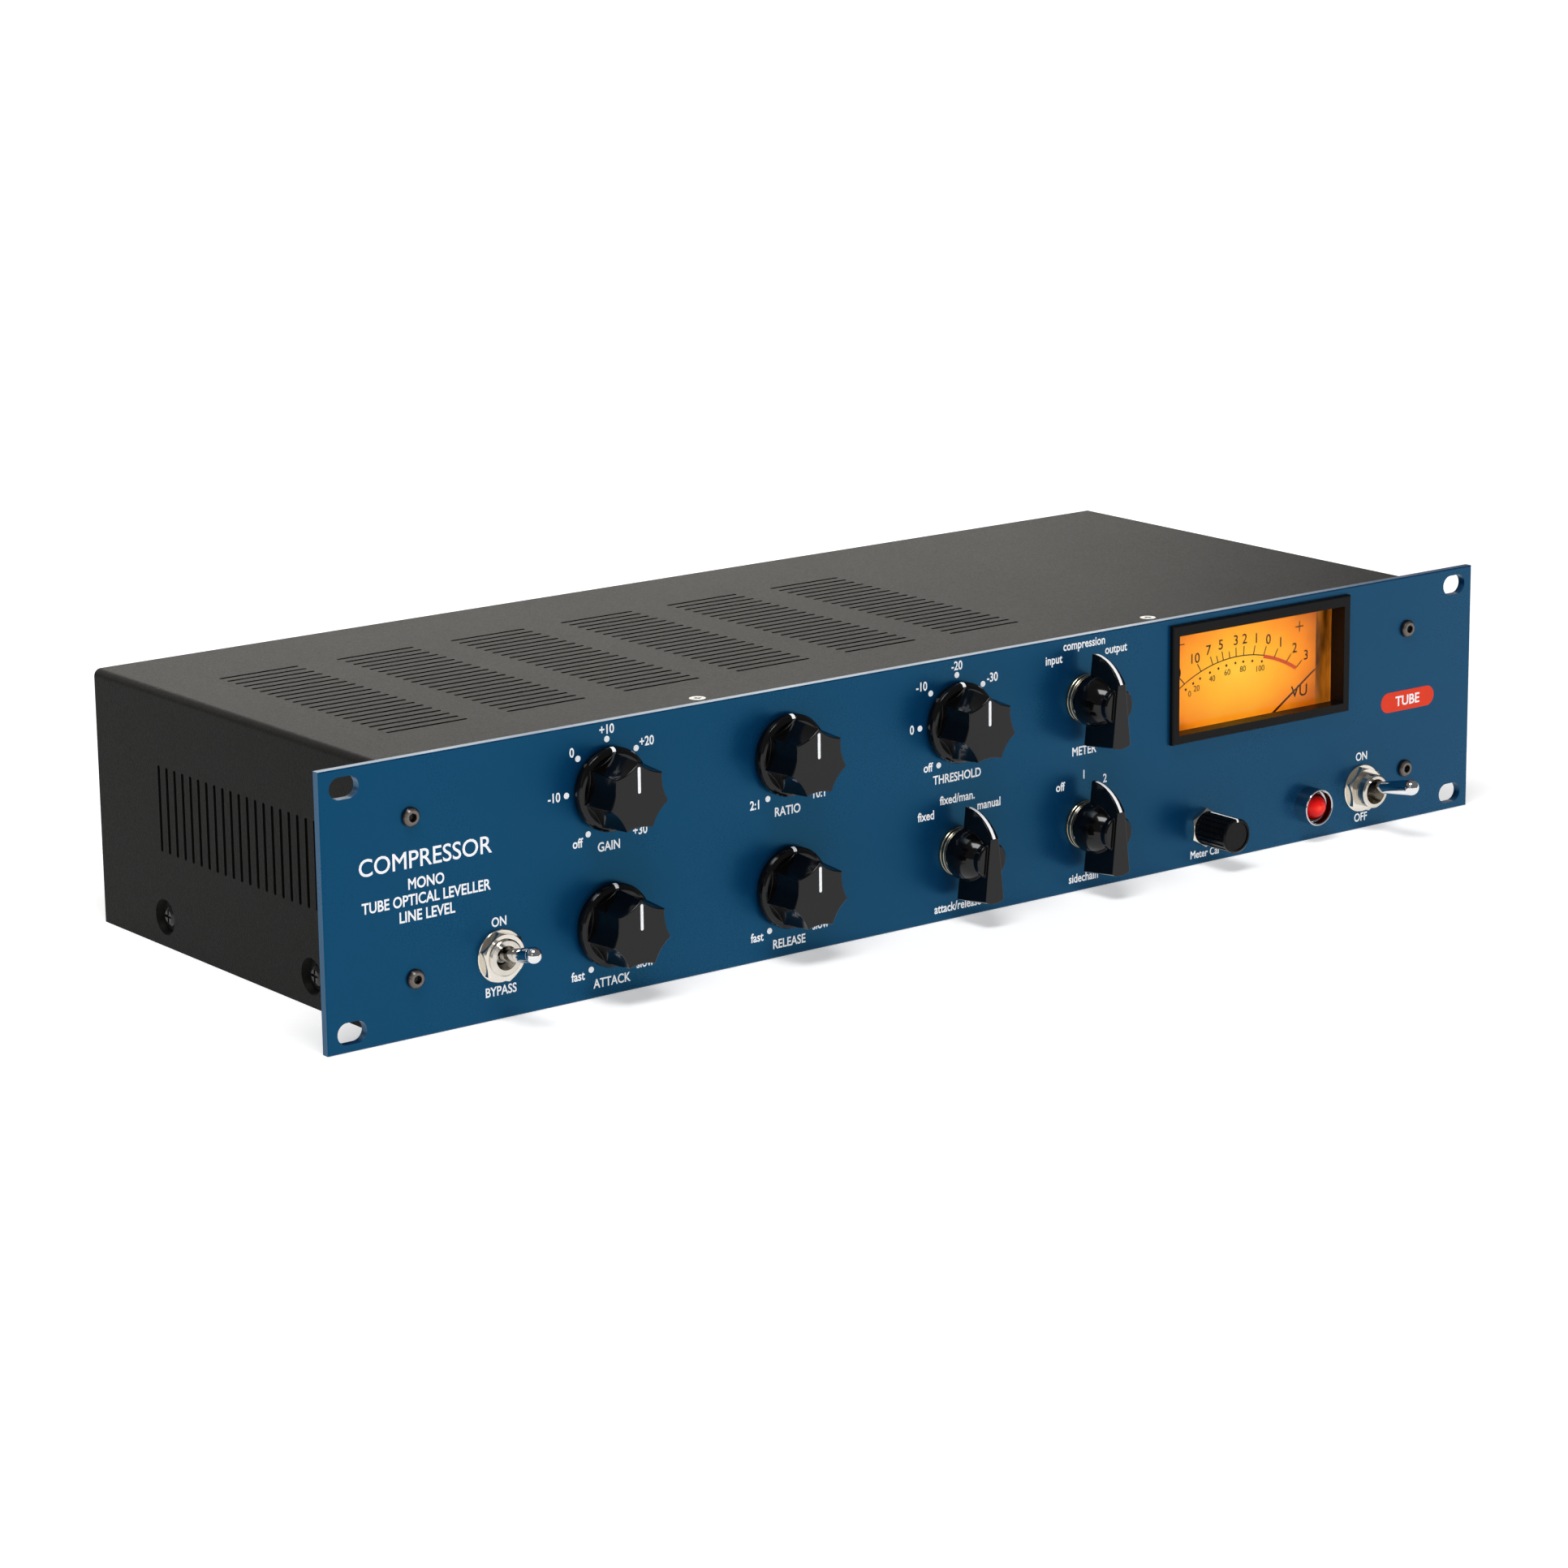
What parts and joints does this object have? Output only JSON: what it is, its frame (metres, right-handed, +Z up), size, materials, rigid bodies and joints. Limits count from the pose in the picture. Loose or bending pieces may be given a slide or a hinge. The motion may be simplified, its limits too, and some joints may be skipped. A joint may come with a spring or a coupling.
{
  "type": "rack compressor",
  "caption": "Two-unit rack-mount audio compressor: blue face plate with fluted knobs, pointer selectors, toggles, a pilot lamp and a back-lit level meter on a vented steel case.",
  "frame": {"origin": "centre of the four rack slots, on the face plate's back face", "axes": "+X to the right seen from the front, +Y to the rear, +Z up"},
  "size_m": [0.4826, 0.2105, 0.0882],
  "materials": {
    "panel_blue": "satin blue powder coat with white screen print",
    "case_grey": "fine textured dark grey powder coat",
    "plain_steel": "zinc plated steel",
    "black_screw": "black oxide",
    "bright_screw": "bright zinc",
    "black_knob": "gloss black phenolic",
    "cal_knob": "satin black plastic",
    "shaft_metal": "turned",
    "control_can": "plated control bodies",
    "nut_nickel": "bright nickel plate",
    "switch_body": "moulded switch body with plated bushing",
    "lever_chrome": "polished chrome",
    "lamp_chrome": "polished chrome",
    "jewel_red": "clear red faceted jewel",
    "black_plastic": "fine textured black plastic",
    "meter_glass": "clear acrylic",
    "dial_card": "printed card lit from behind",
    "needle_metal": "painted aluminium pointer",
    "magnet_metal": "moving coil movement",
    "board_green": "solder mask",
    "standoff_metal": "nickel plated",
    "tube_glass": "thin clear glass",
    "socket_ceramic": "unglazed ceramic",
    "capacitor_sleeve": "shrink sleeve",
    "transformer_can": "painted screening can",
    "toroid_wrap": "polyester tape over copper",
    "connector_metal": "satin nickel plated",
    "connector_black": "black nylon"
  },
  "bodies": {
    "chassis": {"faceplate": "panel_blue", "top_cover": "case_grey", "chassis_tray": "plain_steel", "front_frame": "plain_steel", "rear_panel": "case_grey", "faceplate_screws": "black_screw", "cover_side_screws": "black_screw", "cover_top_screws": "bright_screw", "rear_screws": "black_screw", "potentiometers": "control_can", "selector_switches": "control_can", "cal_potentiometer": "control_can", "control_nuts": "nut_nickel", "bypass_switch": "switch_body", "power_switch": "switch_body", "toggle_hardware": "nut_nickel", "lamp_bezel": "lamp_chrome", "lamp_jewel": "jewel_red", "lamp_holder": "black_plastic", "meter_bezel": "black_plastic", "meter_window": "meter_glass", "meter_dial": "dial_card", "meter_case": "black_plastic", "meter_movement": "magnet_metal", "main_board": "board_green", "board_standoffs": "standoff_metal", "tube_sockets": "socket_ceramic", "vacuum_tubes": "tube_glass", "opto_cell": "black_plastic", "filter_capacitors": "capacitor_sleeve", "audio_transformers": "transformer_can", "power_transformer": "toroid_wrap", "transformer_clamp": "plain_steel", "xlr_input": "connector_metal", "xlr_output": "connector_metal", "line_jacks": "connector_black", "iec_inlet": "connector_black"},
    "gain_control": {"gain_knob": "black_knob", "gain_shaft": "shaft_metal"},
    "attack_control": {"attack_knob": "black_knob", "attack_shaft": "shaft_metal"},
    "ratio_control": {"ratio_knob": "black_knob", "ratio_shaft": "shaft_metal"},
    "release_control": {"release_knob": "black_knob", "release_shaft": "shaft_metal"},
    "threshold_control": {"threshold_knob": "black_knob", "threshold_shaft": "shaft_metal"},
    "timing_selector": {"timing_selector_knob": "black_knob", "timing_selector_shaft": "shaft_metal"},
    "meter_selector": {"meter_selector_knob": "black_knob", "meter_selector_shaft": "shaft_metal"},
    "sidechain_selector": {"sidechain_selector_knob": "black_knob", "sidechain_selector_shaft": "shaft_metal"},
    "meter_cal": {"meter_cal_knob": "cal_knob", "meter_cal_shaft": "shaft_metal"},
    "bypass_lever": {"bypass_toggle": "lever_chrome"},
    "power_lever": {"power_toggle": "lever_chrome"},
    "needle": {"meter_needle": "needle_metal"},
    "latch": {"xlr_latch": "connector_metal"},
    "drawer": {"fuse_drawer": "connector_black"}
  },
  "joints": [
    {"name": "gain_turn", "type": "hinge", "parent": "chassis", "child": "gain_control", "pos_m": [-0.1366, -0.003, 0.0227], "axis": [0, 1, 0], "range_deg": [-150, 150]},
    {"name": "attack_turn", "type": "hinge", "parent": "chassis", "child": "attack_control", "pos_m": [-0.1366, -0.003, -0.021], "axis": [0, 1, 0], "range_deg": [-150, 150]},
    {"name": "ratio_turn", "type": "hinge", "parent": "chassis", "child": "ratio_control", "pos_m": [-0.0666, -0.003, 0.0227], "axis": [0, 1, 0], "range_deg": [-150, 150]},
    {"name": "release_turn", "type": "hinge", "parent": "chassis", "child": "release_control", "pos_m": [-0.0666, -0.003, -0.021], "axis": [0, 1, 0], "range_deg": [-150, 150]},
    {"name": "threshold_turn", "type": "hinge", "parent": "chassis", "child": "threshold_control", "pos_m": [0.0037, -0.003, 0.0227], "axis": [0, 1, 0], "range_deg": [-150, 150]},
    {"name": "timing_selector_turn", "type": "hinge", "parent": "chassis", "child": "timing_selector", "pos_m": [0.0038, -0.003, -0.021], "axis": [0, 1, 0], "range_deg": [-30, 30]},
    {"name": "meter_selector_turn", "type": "hinge", "parent": "chassis", "child": "meter_selector", "pos_m": [0.0588, -0.003, 0.0226], "axis": [0, 1, 0], "range_deg": [-30, 30]},
    {"name": "sidechain_selector_turn", "type": "hinge", "parent": "chassis", "child": "sidechain_selector", "pos_m": [0.0588, -0.003, -0.021], "axis": [0, 1, 0], "range_deg": [-30, 30]},
    {"name": "meter_cal_turn", "type": "hinge", "parent": "chassis", "child": "meter_cal", "pos_m": [0.1132, -0.003, -0.031], "axis": [0, 1, 0], "range_deg": [-140, 140]},
    {"name": "bypass_flip", "type": "hinge", "parent": "chassis", "child": "bypass_lever", "pos_m": [-0.1784, -0.003, -0.0237], "axis": [1, 0, 0], "range_deg": [0, 25.2]},
    {"name": "power_flip", "type": "hinge", "parent": "chassis", "child": "power_lever", "pos_m": [0.1884, -0.003, -0.0292], "axis": [1, 0, 0], "range_deg": [0, 22]},
    {"name": "needle_swing", "type": "hinge", "parent": "chassis", "child": "needle", "pos_m": [0.13885, 0.0061, -0.00815], "axis": [0, 1, 0], "range_deg": [-107, 0]},
    {"name": "xlr_latch_press", "type": "slide", "parent": "chassis", "child": "latch", "axis": [0, -1, 0], "range_m": [0, 0.002], "stiffness_N_per_m": 400},
    {"name": "fuse_drawer_pull", "type": "slide", "parent": "chassis", "child": "drawer", "axis": [0, 1, 0], "range_m": [0, 0.018]}
  ]
}
